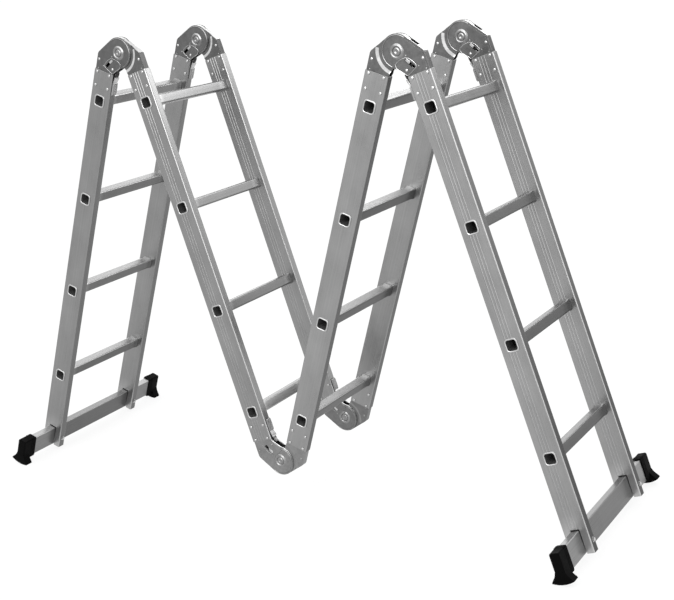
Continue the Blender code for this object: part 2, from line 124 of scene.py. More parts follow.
# Material numbers of the faces, in the order of each piece's row of metals.
STILE_EDGE, STILE_SHADED_SIDE = range(1, 3)
RIVET_SHADED_SIDE = 1
RUNG_SHADED_BORE, RUNG_RIM_HIGHLIGHT, RUNG_LIT_TREAD, RUNG_SHADED_FLANK, RUNG_SHADED_BACK = range(1, 6)
LEAF_PLATE, LEAF_BRIGHT_AND_HIGHLIGHT, LEAF_SEAT, LEAF_WALL, LEAF_SLOPE_HIGHLIGHT, LEAF_FOLD_EDGE = range(6)
LEVER_ARM, LEVER_BRIGHT, LEVER_PAD = range(3)
BAR_LIT_TOP = 1

# Lean, hinge pair, side of the stile that the hinge axis is on, and whether the pair is on top.
SECTIONS = {
    1: (-OUTER_TILT, "a", 1, True),
    2: (INNER_TILT, "a", -1, True),
    3: (-INNER_TILT, "b", -1, False),
    4: (OUTER_TILT, "c", -1, True),
}
# Section, hinge pair, kind of leaf, side of the stile, and whether the pair is on top.
LEAVES = (
    (1, "a", "lock", 1, True),
    (2, "a", "plain", -1, True),
    (2, "b", "lock", 1, False),
    (3, "b", "plain", -1, False),
    (3, "c", "plain", 1, True),
    (4, "c", "lock", -1, True),
)
SIDES = (("near", -1), ("far", 1))
PIVOTS = {j["name"][-1]: Vector(j["pos_m"]) for j in frame["joints"] if j["name"].startswith("fold_")}


# ------------------------------------------------------------ materials


class Nodes:
    """Short calls for wiring a procedural material."""

    def __init__(self, name, metallic, roughness):
        self.mat = bpy.data.materials.new(name)
        self.mat.use_nodes = True
        self.tree = self.mat.node_tree
        self.shader = self.tree.nodes["Principled BSDF"]
        self.shader.inputs["Metallic"].default_value = metallic
        self.shader.inputs["Roughness"].default_value = roughness
        self.coords = self.tree.nodes.new("ShaderNodeTexCoord")

    def link(self, a, b):
        self.tree.links.new(a, b)

    def space(self, scale):
        node = self.tree.nodes.new("ShaderNodeMapping")
        node.inputs["Scale"].default_value = scale
        self.link(self.coords.outputs["Object"], node.inputs["Vector"])
        return node.outputs["Vector"]

    def share(self, axis, length):
        """How far along the piece a point is, as a share of the length either way."""
        node = self.tree.nodes.new("ShaderNodeSeparateXYZ")
        self.link(self.space((1.0 / length, 1.0 / length, 1.0 / length)), node.inputs["Vector"])
        size = self.tree.nodes.new("ShaderNodeMath")
        size.operation = "ABSOLUTE"
        self.link(node.outputs[axis], size.inputs[0])
        return size.outputs["Value"]

    def noise(self, vector, detail=3.0, rough=0.55):
        node = self.tree.nodes.new("ShaderNodeTexNoise")
        node.inputs["Scale"].default_value = 1.0
        node.inputs["Detail"].default_value = detail
        node.inputs["Roughness"].default_value = rough
        self.link(vector, node.inputs["Vector"])
        return node.outputs["Fac"]

    def cells(self, vector):
        node = self.tree.nodes.new("ShaderNodeTexVoronoi")
        node.inputs["Scale"].default_value = 1.0
        self.link(vector, node.inputs["Vector"])
        return node.outputs["Color"]

    def ramp(self, value, stops):
        node = self.tree.nodes.new("ShaderNodeValToRGB")
        band = node.color_ramp
        while len(band.elements) < len(stops):
            band.elements.new(0.5)
        for element, (place, shade) in zip(band.elements, stops):
            element.position = place
            rgb = shade if isinstance(shade, tuple) else (shade, shade, shade)
            element.color = (*rgb, 1.0)
        self.link(value, node.inputs["Fac"])
        return node.outputs["Color"]

    def mix(self, kind, factor, a, b):
        node = self.tree.nodes.new("ShaderNodeMix")
        node.data_type = "RGBA"
        node.blend_type = kind
        node.inputs["Factor"].default_value = factor
        self.link(a, node.inputs["A"])
        self.link(b, node.inputs["B"])
        return node.outputs["Result"]

    def bump(self, height, strength, distance, after=None):
        node = self.tree.nodes.new("ShaderNodeBump")
        node.inputs["Strength"].default_value = strength
        node.inputs["Distance"].default_value = distance
        self.link(height, node.inputs["Height"])
        if after is not None:
            self.link(after, node.inputs["Normal"])
        return node.outputs["Normal"]

    def finish(self, colour, roughness, normal):
        self.link(colour, self.shader.inputs["Base Color"])
        self.link(roughness, self.shader.inputs["Roughness"])
        self.link(normal, self.shader.inputs["Normal"])
        return self.mat


def extruded_aluminium(name, tone, along, painted_light_ramp=()):
    """Satin aluminium with die lines, light handling marks and a little dulling.

    The last argument is a row of (share of the length, tone), from a stile's top or a bar's middle: painted
    light and shade, lighter or darker along the piece.
    """
    n = Nodes(name, 1.0, 0.36)
    most = max([level for _, level in painted_light_ramp] or [1.0])
    tone *= most
    fine = {"z": (1500, 1500, 1.6), "y": (1500, 3, 1500)}[along]
    broad = {"z": (260, 260, 0.9), "y": (260, 1.5, 260)}[along]
    lines = n.noise(n.space(fine), 2.0)
    bands = n.noise(n.space(broad), 2.0)
    clouds = n.noise(n.space((18, 18, 11)), 4.0)
    marks = n.noise(n.space({"z": (70, 330, 240), "y": (300, 14, 300)}[along]), 5.0, 0.7)
    base = n.ramp(clouds, ((0.30, tone * 0.93), (0.72, tone * 1.05)))
    grain = n.ramp(lines, ((0.25, 0.86), (0.75, 1.0)))
    dull = n.ramp(bands, ((0.30, 0.90), (0.70, 1.0)))
    spots = n.ramp(marks, ((0.60, 1.0), (0.78, 0.80)))
    colour = n.mix("MULTIPLY", 1.0, n.mix("MULTIPLY", 0.8, base, grain), n.mix("MULTIPLY", 0.7, dull, spots))
    # Painted light and shade: the colour is made lighter or darker along the piece.
    if painted_light_ramp:
        share = n.share("Z", -LEG_END) if along == "z" else n.share("Y", BAR_HALF_LENGTH)
        stops = [(place, level / most) for place, level in painted_light_ramp]
        colour = n.mix("MULTIPLY", 1.0, colour, n.ramp(share, stops))
    broad_rough = n.ramp(clouds, ((0.25, 0.24), (0.80, 0.34)))
    fine_rough = n.ramp(lines, ((0.3, 0.0), (0.8, 0.22)))
    rough = n.mix("ADD", 0.35, broad_rough, fine_rough)
    normal = n.bump(lines, 0.22, 0.0002, n.bump(bands, 0.18, 0.0006))
    return n.finish(colour, rough, normal)


def zinc_steel(name, tone, rough=0.36):
    """Pressed sheet with a bright zinc plating: faint spangle, tool marks and scuffs."""
    n = Nodes(name, 1.0, rough)
    spangle = n.cells(n.space((170, 170, 170)))
    clouds = n.noise(n.space((55, 55, 55)), 4.0)
    scuffs = n.noise(n.space((900, 60, 160)), 3.0, 0.7)
    base = n.ramp(clouds, ((0.28, tone * 0.86), (0.74, tone * 1.08)))
    flakes = n.ramp(spangle, ((0.10, 0.86), (0.90, 1.0)))
    scratch = n.ramp(scuffs, ((0.58, 1.0), (0.72, 0.84)))
    colour = n.mix("MULTIPLY", 0.75, n.mix("MULTIPLY", 0.7, base, flakes), scratch)
    roughness = n.ramp(clouds, ((0.25, rough - 0.06), (0.78, rough + 0.10)))
    normal = n.bump(clouds, 0.16, 0.0008, n.bump(scuffs, 0.12, 0.0002))
    return n.finish(colour, roughness, normal)


def coated(name, tone, rough, grain, metallic=0.0, shine=0.22):
    """Rubber, plastic or dark coated metal: fine grain, dust and wear."""
    n = Nodes(name, metallic, rough)
    fine = n.noise(n.space((grain, grain, grain)), 2.0)
    dust = n.noise(n.space((45, 45, 45)), 5.0, 0.65)
    n.shader.inputs["Specular IOR Level"].default_value = shine
    colour = n.ramp(dust, ((0.34, tone), (0.66, tone * 1.5), (0.86, tone * 2.6)))
    roughness = n.ramp(dust, ((0.3, rough - 0.08), (0.8, min(rough + 0.14, 1.0))))
    normal = n.bump(fine, 0.35, 0.0003)
    return n.finish(colour, roughness, normal)


def flat_stage(name, tone, glow):
    """A plain matt floor, lit a little from within so that it stays an even white."""
    n = Nodes(name, 0.0, 0.9)
    n.shader.inputs["Base Color"].default_value = (tone, tone, tone, 1.0)
    n.shader.inputs["Specular IOR Level"].default_value = 0.0
    n.shader.inputs["Emission Color"].default_value = (1.0, 1.0, 1.0, 1.0)
    n.shader.inputs["Emission Strength"].default_value = glow
    return n.mat


# Stile tones differ by section: painted light and shade, lit and shaded copies of one aluminium.
STILE_PAINTED_LIGHT_TONES = {1: 0.280, 2: 0.290, 3: 0.315, 4: 0.325}
# Stile side faces are made darker than the fronts: painted shade.
SIDE_PAINTED_SHADE_TONES = {1: 0.165, 2: 0.165, 3: 0.092, 4: 0.135}
# Painted light and shade ramps along the stile sides, from each stile's top.
SIDE_PAINTED_SHADING_RAMPS = {
    1: ((0.10, 1.30), (0.40, 1.0)),
    2: ((0.22, 1.0), (0.80, 1.35)),
    3: (),
    4: ((0.15, 1.0), (0.45, 0.75), (0.80, 0.42)),
}
# Painted light: the legs of sections 1 and 4 are made lighter towards their feet, below the bar.
LEG_PAINTED_LIGHT = ((0.92, 1.0), (0.975, 1.5))
# Painted light: rungs are made lighter towards their ends by the stiles, where shade falls.
RUNG_END_PAINTED_LIGHT = ((0.40, 1.0), (0.51, 2.1))
# Painted light: bars are made lighter towards their ends by the stiles, where shade falls.
BAR_PAINTED_LIGHT = ((0.44, 1.0), (0.58, 1.45), (0.66, 1.55))
# Rung treads get their own tone per section: painted light on the upper and lower faces.
TREAD_PAINTED_LIGHT_TONES = {1: 0.295, 2: 0.30, 3: 0.275, 4: 0.265}
# Rung fronts get a tone per section and rung: painted light and shade.
FLANK_PAINTED_SHADING_TONES = {
    1: (0.230, 0.160, 0.155, 0.130),
    2: (0.163, 0.186, 0.143, 0.300),
    3: (0.112, 0.080, 0.100, 0.122),
    4: (0.140, 0.098, 0.080, 0.095),
}
# Hinge leaves get a tone per hinge end: painted light and shade, lit and shaded copies of one zinc plating.
LEAF_PAINTED_SHADING_TONES = {
    "a_near": 0.135,
    "a_far": 0.135,
    "b_near": 0.240,
    "b_far": 0.175,
    "c_near": 0.130,
    "c_far": 0.130,
}
# Each bar gets its own tone: painted light and shade.
BAR_PAINTED_SHADING_TONES = {1: 0.145, 4: 0.168}

STILE_PAINTED_LIGHT_METALS = {
    k: extruded_aluminium(f"stile_aluminium_painted_light_{k}", tone, "z", LEG_PAINTED_LIGHT if k in (1, 4) else ())
    for k, tone in STILE_PAINTED_LIGHT_TONES.items()
}
SIDE_PAINTED_SHADE_METALS = {
    k: extruded_aluminium(f"stile_side_painted_shade_{k}", tone, "z", SIDE_PAINTED_SHADING_RAMPS[k]) for k, tone in SIDE_PAINTED_SHADE_TONES.items()
}
TREAD_PAINTED_LIGHT_METALS = {
    k: extruded_aluminium(f"rung_tread_painted_light_{k}", tone, "y", RUNG_END_PAINTED_LIGHT) for k, tone in TREAD_PAINTED_LIGHT_TONES.items()
}
LEAF_PAINTED_SHADING_METALS = {k: zinc_steel(f"zinc_plated_steel_painted_shading_{k}", tone) for k, tone in LEAF_PAINTED_SHADING_TONES.items()}
RUNG_METAL = extruded_aluminium("rung_aluminium", 0.270, "y", RUNG_END_PAINTED_LIGHT)
BAR_PAINTED_SHADING_METALS = {
    k: extruded_aluminium(f"bar_aluminium_painted_shading_{k}", tone, "y", BAR_PAINTED_LIGHT) for k, tone in BAR_PAINTED_SHADING_TONES.items()
}
# Painted light: the bar's upper face is made lighter than its sides.
BAR_TOP_PAINTED_LIGHT = extruded_aluminium("bar_top_painted_light", 0.225, "y", BAR_PAINTED_LIGHT)
# Bright zinc of rivets, bolts and screws, also laid on leaf crowns, slanted walls, beads and lower fold
# edges as painted highlight and painted light.
BRIGHT_ZINC_AND_PAINTED_HIGHLIGHT = zinc_steel("bright_zinc_and_painted_highlight", 0.52, 0.26)
# A paler zinc for pivots and small rivets, also laid on the pressed seat, the lip and the lower hinge's
# leaves and levers as painted light.
PALE_ZINC_AND_PAINTED_LIGHT = zinc_steel("pale_zinc_and_painted_light", 0.26, 0.28)
# Painted highlight on the plain leaf's sloping arc; the zinc is the same as the rest of the leaf.
SLOPE_PAINTED_HIGHLIGHT = zinc_steel("slope_painted_highlight", 0.62, 0.30)
# Painted shade: nearly black zinc for the top hinges' side walls and the sides of rivet heads.
SHADED_METAL = zinc_steel("zinc_painted_shade", 0.034, 0.30)
# Painted highlight: the swaged rims round the rung holes are made much lighter than the rung.
RIM_PAINTED_HIGHLIGHT = extruded_aluminium("rim_painted_highlight", 0.50, "y")
# Painted shade: the back flanks of the rungs are made darker.
BACK_PAINTED_SHADE = extruded_aluminium("rung_back_painted_shade", 0.148, "y", RUNG_END_PAINTED_LIGHT)
# Painted highlight: a bright line along the rounded corners of the stiles of sections 2 and 4.
EDGE_PAINTED_HIGHLIGHT = extruded_aluminium("edge_painted_highlight", 0.46, "z")
# Painted shade: the inside of each rung is made nearly black.
BORE_PAINTED_SHADE = coated("rung_bore_painted_shade", 0.040, 0.60, 700)
LEVER_METAL = coated("lever_coating", 0.022, 0.42, 1400, 0.4)
PAD_PLASTIC = coated("lever_pad_plastic", 0.180, 0.40, 1100, 0.6)
RUBBER = coated("foot_rubber", 0.0009, 0.55, 900, 0.0, 0.03)


# ------------------------------------------------------------ outlines


def arc(centre, radius, start, stop, steps):
    points = []
    for i in range(steps + 1):
        angle = start + (stop - start) * i / steps
        points.append((centre[0] + radius * math.cos(angle), centre[1] + radius * math.sin(angle)))
    return points


def circle(centre, radius, steps):
    return arc(centre, radius, 0.0, math.tau, steps)[:-1]


def rounded_box(half_x, half_y, radius):
    """A box's outline, from its upper right corner round to its lower right one."""
    points = []
    for sx, sy, turn in ((1, 1, 0), (-1, 1, 90), (-1, -1, 180), (1, -1, 270)):
        start = math.radians(turn)
        centre = (sx * (half_x - radius), sy * (half_y - radius))
        points += arc(centre, radius, start, start + math.pi / 2, CORNER_STEPS)
    return points


def with_rows(box, upper, lower):
    """A rounded box with rows of points set into its upper and its lower side."""
    turn = CORNER_STEPS + 1
    return box[:turn] + upper + box[turn : 3 * turn] + lower + box[3 * turn :]


def polar(radius, angle):
    """A point of the hinge's plane, by its distance and direction from the axis."""
    return (AXIS_OFFSET + radius * math.cos(angle), radius * math.sin(angle))


def shoulder(inset):
    """The rounded corner between a leaf's side and its slanted edge."""
    side = -LEAF_HALF + SHOULDER_R
    lean = (math.cos(TANGENT), math.sin(TANGENT))
    height = (SHOULDER_R - DISC_R + (side - AXIS_OFFSET) * lean[0]) / -lean[1]
    return arc((side, height), SHOULDER_R - inset, math.pi, math.pi * 2 + TANGENT, 8)


def edge_at(v, inset):
    """The point of a leaf's slanted edge at height v."""
    lean = (math.cos(TANGENT), math.sin(TANGENT))
    return (AXIS_OFFSET + (DISC_R - inset - v * lean[1]) / lean[0], v)


def lock_outline(inset=0.0):
    """Tongue, slanted edge, disc and the hollow on the fold side."""
    points = [(-LEAF_HALF + inset, TONGUE_END)] + shoulder(inset)
    points += arc(AXIS, DISC_R - inset, TANGENT, math.radians(66.0), 44)
    hollow = [(0.0490, 0.0388), (0.0450, 0.0430), (0.0412, 0.0464), (0.0378, 0.0498)]
    hollow += [(0.0343, 0.0540), (0.0310, 0.0582), (0.0296, 0.0615)]
    points += [(u - inset * 0.7, v + inset * 0.7) for u, v in hollow]
    points += [(LEAF_HALF - inset, TONGUE_END)]
    return points


def plain_outline():
    """A plain leaf before its step: it reaches past the lock leaf's disc, then to the core."""
    points = [(-LEAF_HALF, TONGUE_END)] + shoulder(0.0) + [edge_at(0.0010, 0.0)]
    reach = 0.0460
    lift = math.acos(DISC_R / reach)
    points += arc(AXIS, reach, -math.pi - 0.0218, TANGENT - lift, 4)
    points += [polar(DISC_R, TANGENT)]
    points += arc(AXIS, CORE_R, TANGENT, math.radians(80.0), 30)
    points += [(0.0356, 0.0390), (0.0322, 0.0480), (0.0310, 0.0560), (LEAF_HALF, 0.0615)]
    return points + [(LEAF_HALF, TONGUE_END)]


def spacer_outline():
    """The round plate between a lock leaf's cheeks, with an arm to the outer wall."""
    points = arc(AXIS, SPACER_R, math.radians(138.0), math.radians(390.0), 48)
    points += [(0.0170, 0.0200), (0.0095, 0.0315), (0.0000, 0.0400)]
    wall = SHEET / 2 - LEAF_HALF
    return points + [(wall, 0.0480), (wall, 0.0380)]


def upper_wall():
    """The wedge between a plain leaf's cheeks, from the spacer out to the slanted edge."""
    clear = SPACER_R + 0.0003
    start, stop = [-math.pi - math.asin(v / clear) for v in (WEDGE_START, WEDGE_END)]
    inside = arc(AXIS, clear, start, stop, 12)
    return [edge_at(WEDGE_END, 0.0001), edge_at(WEDGE_START, 0.0001)] + inside


def open_cavity(inset, start):
    """The space between a leaf's cheeks, leaving its outer wall from v = start onwards."""
    points = [(-LEAF_HALF + inset, CLEAR_TONGUE)] + shoulder(inset)
    points += [edge_at(start, inset), (CLEAR_LEFT, start), (CLEAR_LEFT, CLEAR_ABOVE)]
    return points + [(CLEAR_RIGHT, CLEAR_ABOVE), (CLEAR_RIGHT, CLEAR_TONGUE)]


def wide_cavity():
    """The wider space between a plain leaf's cheeks, beyond the lock leaf's reach."""
    reach = 0.0520
    start = TANGENT - math.acos((DISC_R - SHEET) / reach) + 2 * math.pi
    points = [(-LEAF_HALF + SHEET, CLEAR_TONGUE)] + shoulder(SHEET)
    points += arc(AXIS, reach, start, math.radians(50.0), 24)
    return points + [(CLEAR_RIGHT, 0.040), (CLEAR_RIGHT, CLEAR_TONGUE)]


def radial_box(near, far, half):
    """A box along the bolt's line, between two distances from the axis."""
    across = (-math.sin(BOLT_ANGLE) * half, math.cos(BOLT_ANGLE) * half)
    ends = (polar(near, BOLT_ANGLE), polar(far, BOLT_ANGLE))
    signs = ((0, 1), (0, -1), (1, -1), (1, 1))
    return [(ends[k][0] + s * across[0], ends[k][1] + s * across[1]) for k, s in signs]


# ------------------------------------------------------------ mesh pieces


def at_height(outline, z):
    """An outline in (x, y) as points at one height."""
    return [Vector((x, y, z)) for x, y in outline]


def at_depth(outline, y, rise=0.0):
    """An outline in (x, z) as points at one y, raised if need be."""
    return [Vector((x, y, z + rise)) for x, z in outline]


def prism(outline, low, high):
    """A closed plate: an outline in (x, y) between two heights along z."""
    bm = bmesh.new()
    rings = [[bm.verts.new(point) for point in at_height(outline, z)] for z in (low, high)]
    count = len(outline)
    for i in range(count):
        j = (i + 1) % count
        bm.faces.new((rings[0][i], rings[0][j], rings[1][j], rings[1][i]))
    bm.faces.new(reversed(rings[0]))
    bm.faces.new(rings[1])
    bmesh.ops.recalc_face_normals(bm, faces=bm.faces)
    return bm


def loft(sections, looped=True):
    """A skin over rings of equal count; looped joins the last ring to the first."""
    bm = bmesh.new()
    rings = [[bm.verts.new(point) for point in ring] for ring in sections]
    pairs = list(zip(rings, rings[1:]))
    if looped:
        pairs.append((rings[-1], rings[0]))
    for low, high in pairs:
        for i in range(len(low)):
            j = (i + 1) % len(low)
            bm.faces.new((low[i], low[j], high[j], high[i]))
    if not looped:
        bm.faces.new(reversed(rings[0]))
        bm.faces.new(rings[-1])
    bmesh.ops.recalc_face_normals(bm, faces=bm.faces)
    return bm


def turned(profile, centre=(0.0, 0.0), steps=28):
    """A solid of revolution about z from (radius, z) points, from the axis to the axis."""
    rings = [at_height(circle(centre, radius, steps), z) for radius, z in profile]
    return loft(rings, looped=False)


def tube(path, radius, sides=8):
    """A round wire along a path of points."""
    rings = []
    for i, point in enumerate(path):
        ahead = path[min(i + 1, len(path) - 1)] - path[max(i - 1, 0)]
        turn = ahead.to_track_quat("Z", "Y").to_matrix()
        rings.append([point + turn @ corner for corner in at_height(circle((0, 0), radius, sides), 0)])
    return loft(rings, looped=False)


def moved(bm, matrix):
    """The shape itself, moved; a mirroring matrix keeps its faces looking out."""
    bmesh.ops.transform(bm, matrix=matrix, verts=bm.verts)
    if matrix.determinant() < 0:
        bmesh.ops.reverse_faces(bm, faces=bm.faces)
    return bm


def softened(bm, width, segments=2, pick=None):
    """Rounds the sharp edges, or those that pick accepts."""
    edges = []
    for edge in bm.edges:
        if len(edge.link_faces) == 2 and edge.calc_face_angle(0.0) > math.radians(38):
            if pick is None or pick(edge):
                edges.append(edge)
    bmesh.ops.bevel(
        bm, geom=edges, offset=width, segments=segments, profile=0.5, affect="EDGES", clamp_overlap=True
    )
    return bm


def joined(pieces):
    """Several shapes as one mesh; a piece may be (shape, material number), None keeping its own."""
    whole = bmesh.new()
    for piece in pieces:
        bm, number = piece if isinstance(piece, tuple) else (piece, 0)
        if number is not None:
            for face in bm.faces:
                face.material_index = number
        mesh = bpy.data.meshes.new("piece")
        bm.to_mesh(mesh)
        bm.free()
        whole.from_mesh(mesh)
        bpy.data.meshes.remove(mesh)
    return whole


def carved(bm, cutter, operation="DIFFERENCE"):
    """The exact Boolean of two closed shapes."""
    things = []
    for shape in (bm, cutter):
        mesh = bpy.data.meshes.new("carve")
        shape.to_mesh(mesh)
        shape.free()
        thing = bpy.data.objects.new("carve", mesh)
        bpy.context.scene.collection.objects.link(thing)
        things.append(thing)
    modifier = things[0].modifiers.new("carve", "BOOLEAN")
    modifier.operation = operation
    modifier.solver = "EXACT"
    modifier.object = things[1]
    depsgraph = bpy.context.evaluated_depsgraph_get()
    mesh = bpy.data.meshes.new_from_object(things[0].evaluated_get(depsgraph))
    for thing in things:
        bpy.data.objects.remove(thing, do_unlink=True)
    result = bmesh.new()
    result.from_mesh(mesh)
    bpy.data.meshes.remove(mesh)
    return result


def weight_normals(piece):
    """Gives the piece's mesh normals that follow its large faces."""
    modifier = piece.modifiers.new("normals", "WEIGHTED_NORMAL")
    modifier.weight = 100
    modifier.keep_sharp = True
    depsgraph = bpy.context.evaluated_depsgraph_get()
    mesh = bpy.data.meshes.new_from_object(piece.evaluated_get(depsgraph))
    old = piece.data
    piece.modifiers.clear()
    piece.data = mesh
    bpy.data.meshes.remove(old)


def place(name, bm, matrix, body, metals, slot, nodes=()):
    """Makes the piece, with its own mesh, and sets it on its body."""
    mesh = bpy.data.meshes.new(name)
    bm.to_mesh(mesh)
    for metal in metals:
        mesh.materials.append(metal)
    mesh.shade_smooth()
    mesh.set_sharp_from_angle(angle=math.radians(27))
    piece = bpy.data.objects.new(name, mesh)
    bpy.context.scene.collection.objects.link(piece)
    weight_normals(piece)
    piece.data.name = name
    piece.matrix_world = matrix
    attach(piece, body)
    if nodes:
        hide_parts(*nodes)


# ------------------------------------------------------------ frames


def section_matrix(number):
    """A section's own frame: X across the stile, Y along the rungs, Z up the stile."""
    tilt, pivot, side, top = SECTIONS[number]
    start = Vector((-side * AXIS_OFFSET, 0.0, 0.0 if top else HINGE_SPAN))
    return Matrix.Translation(PIVOTS[pivot]) @ Matrix.Rotation(-tilt, 4, "Y") @ Matrix.Translation(start)


def hinge_matrix(side, top, y_centre):
    """From a hinge's (u, v) and thickness to its section's frame."""
    down = -1.0 if top else 1.0
    rows = (
        (side, 0.0, 0.0, 0.0),
        (0.0, 0.0, 1.0, y_centre),
        (0.0, down, 0.0, 0.0 if top else -HINGE_SPAN),
        (0.0, 0.0, 0.0, 1.0),
    )
    return Matrix(rows)


FRAMES = {number: section_matrix(number) for number in SECTIONS}
ALONG_Y = Matrix.Rotation(math.pi / 2, 4, "X")


def rung_levels(section):
    """How far the four rungs are below the section's upper end; a leg's last rung is raised."""
    levels = [FIRST_RUNG + i * RUNG_PITCH for i in range(4)]
    if section in (1, 4):
        levels[3] -= LOW_RUNG_RISE
    return levels


# ------------------------------------------------------------ stiles

RIB_CENTRES = (0.0042, -0.0038, -0.0116)
RIB_PROFILE = ((0.0014, 0), (0.0006, 0.0005), (-0.0006, 0.0005), (-0.0014, 0))


def stile_rings(section):
    """Outer and inner outline of a stile, with fine ribs on sections 2 and 4."""
    half_x, half_y = STILE_DEPTH / 2, STILE_THICK / 2
    outer = rounded_box(half_x, half_y, STILE_CORNER)
    bore = rounded_box(half_x - STILE_WALL, half_y - STILE_WALL, STILE_CORNER - STILE_WALL)
    if section not in (2, 4):
        return outer, bore
    crest, root = [], []
    for centre in RIB_CENTRES:
        for offset, lift in RIB_PROFILE:
            crest.append((centre + offset, half_y + lift))
            root.append((centre + offset, half_y - STILE_WALL))
    under = [(x, -y) for x, y in reversed(crest)]
    under_root = [(x, -y) for x, y in reversed(root)]
    return with_rows(outer, crest, under), with_rows(bore, root, under_root)


def stile_shape(section):
    """A hollow stile about its own middle, with rung holes and a leg's slot."""
    outer, bore = stile_rings(section)
    bottom = LEG_END if section in (1, 4) else HINGE_SPAN - STILE_END
    chamfer = 0.0003
    tip = [(x * 0.992, y * 0.98) for x, y in outer]
    rings = (
        (tip, STILE_END),
        (outer, STILE_END + chamfer),
        (outer, bottom - chamfer),
        (tip, bottom),
        (bore, bottom),
        (bore, STILE_END),
    )
    shell = loft([at_height(ring, -level) for ring, level in rings])
    hole = rounded_box(RUNG_HOLE_HALF, RUNG_HOLE_HALF, RUNG_HOLE_CORNER)
    cutters = []
    for level in rung_levels(section):
        lift = Matrix.Translation((0, 0, -level))
        cutters.append(moved(prism(hole, -THROUGH, THROUGH), lift @ ALONG_Y))
    if section in (1, 4):
        slot = [(-SLOT_HALF, -THROUGH), (SLOT_HALF, -THROUGH), (SLOT_HALF, THROUGH), (-SLOT_HALF, THROUGH)]
        cutters.append(prism(slot, -LEG_END - 0.004, -SLOT_TOP))
    body = carved(shell, joined(cutters))
    for face in body.faces:
        middle = face.calc_center_median()
        at_side = abs(middle.x) > STILE_DEPTH / 2 - STILE_CORNER
        at_corner = at_side and abs(middle.y) > STILE_THICK / 2 - STILE_CORNER
        # Rounded corners are numbered for the corner metal, a painted highlight on sections 2 and 4.
        if at_corner and abs(face.normal.x) > 0.3 and abs(face.normal.y) > 0.3:
            face.material_index = STILE_EDGE
        # Narrow side faces get the side metal: painted shade, darker than the front.
        elif abs(face.normal.x) > 0.9 and abs(middle.x) > STILE_DEPTH / 2 - 0.0005:
            face.material_index = STILE_SHADED_SIDE
    return body


def mirrored(sign):
    """Keeps a plate's upper face where it is (1), or turns it into the lower face (-1)."""
    return Matrix.Diagonal((1, 1, sign, 1))


def rivet_profile(radius, height, y):
    """A shallow snap head standing on a face at y."""
    return (
        (0.0, y - 0.0006),
        (radius, y - 0.0006),
        (radius, y + height * 0.15),
        (radius * 0.90, y + height * 0.55),
        (radius * 0.66, y + height * 0.86),
        (radius * 0.34, y + height * 0.98),
        (0.0, y + height),
    )


def rivets(radius, height, y, spots, number=0, steps=18):
    """Snap heads at each spot on both faces of a plate, with their material number."""
    profile = rivet_profile(radius, height, y)
    pieces = []
    for spot in spots:
        pieces.append((turned(profile, spot, steps), number))
        pieces.append((moved(turned(profile, spot, steps), mirrored(-1)), number))
    return pieces


def build_stiles():
    """The eight stiles, and the rivets that hold the leaves' tongues in them."""
    for section in SECTIONS:
        shape = stile_shape(section)
        # Sections 2 and 4 get the bright corner metal: painted highlight.
        edge = EDGE_PAINTED_HIGHLIGHT if section in (2, 4) else STILE_PAINTED_LIGHT_METALS[section]
        metals = [STILE_PAINTED_LIGHT_METALS[section], edge, SIDE_PAINTED_SHADE_METALS[section]]
        for label, sign in SIDES:
            name = f"stile_{section}_{label}"
            matrix = FRAMES[section] @ Matrix.Translation((0, sign * MIDDLE, 0))
            place(f"look_{name}", shape, matrix, f"section_{section}", metals, "aluminium", [name])
        shape.free()
    for section, pivot, _, side, top in LEAVES:
        spots = [(u, v) for u in (-0.020, 0.020) for v in (0.0665, 0.1025)]
        for label, sign in SIDES:
            heads = joined(rivets(0.0040, 0.0017, STILE_THICK / 2, spots))
            heads.normal_update()
            # The sides of the heads get the dark zinc: a painted shade outline.
            for face in heads.faces:
                if abs(face.normal.z) <= 0.75:
                    face.material_index = RIVET_SHADED_SIDE
            moved(heads, hinge_matrix(side, top, 0.0))
            matrix = FRAMES[section] @ Matrix.Translation((0, sign * MIDDLE, 0))
            name = f"rivets_{section}_{pivot}_{label}"
            place(name, heads, matrix, f"section_{section}", [BRIGHT_ZINC_AND_PAINTED_HIGHLIGHT, SHADED_METAL], "zinc_steel")
            heads.free()


# ------------------------------------------------------------ rungs


def rung_outline(half, corner, ribs):
    """A rounded square with grooved treads above and below."""
    teeth = 5
    flat = half - corner
    pitch = 2 * flat / teeth
    tread = []
    for i in range(teeth):
        left = flat - i * pitch
        for share, depth in ((0.12, 0.0), (0.30, 1.0), (0.62, 1.0), (0.80, 0.0)):
            tread.append((left - share * pitch, half - depth * ribs))
    under = [(-x, -y) for x, y in tread]
    return with_rows(rounded_box(half, half, corner), tread, under)


def rung_stations():
    """(y, half size, corner, rib depth) from the bore's near end out and along to mid-rung."""
    return (
        (FACE - 0.0040, 0.0125, 0.0052, 0.0),
        (FACE + 0.0006, 0.0126, 0.0054, 0.0),
        (FACE + 0.0017, 0.0129, 0.0058, 0.0),
        (FACE + 0.0023, 0.0137, 0.0062, 0.0),
        (FACE + 0.0024, 0.0145, 0.0066, 0.0),
        (FACE + 0.0020, 0.0156, 0.0073, 0.0),
        (FACE + 0.0012, 0.0163, 0.0080, 0.0),
        (FACE + 0.0002, 0.0165, 0.0082, 0.0),
        (FACE + 0.0002, 0.0135, 0.0048, 0.0),
        (INSIDE - 0.0002, 0.0135, 0.0048, 0.0),
        (INSIDE - 0.0002, 0.0152, 0.0062, 0.0),
        (INSIDE - 0.0014, 0.0156, 0.0066, 0.0),
        (INSIDE - 0.0030, 0.0152, 0.0062, 0.0),
        (INSIDE - 0.0060, 0.0143, 0.0054, 0.0),
        (INSIDE - 0.0110, 0.0137, 0.0050, 0.0),
        (INSIDE - 0.0200, 0.0135, 0.0048, 0.0001),
        (INSIDE - 0.0340, 0.0135, 0.0048, 0.00030),
        (0.0, 0.0135, 0.0048, 0.00030),
    )


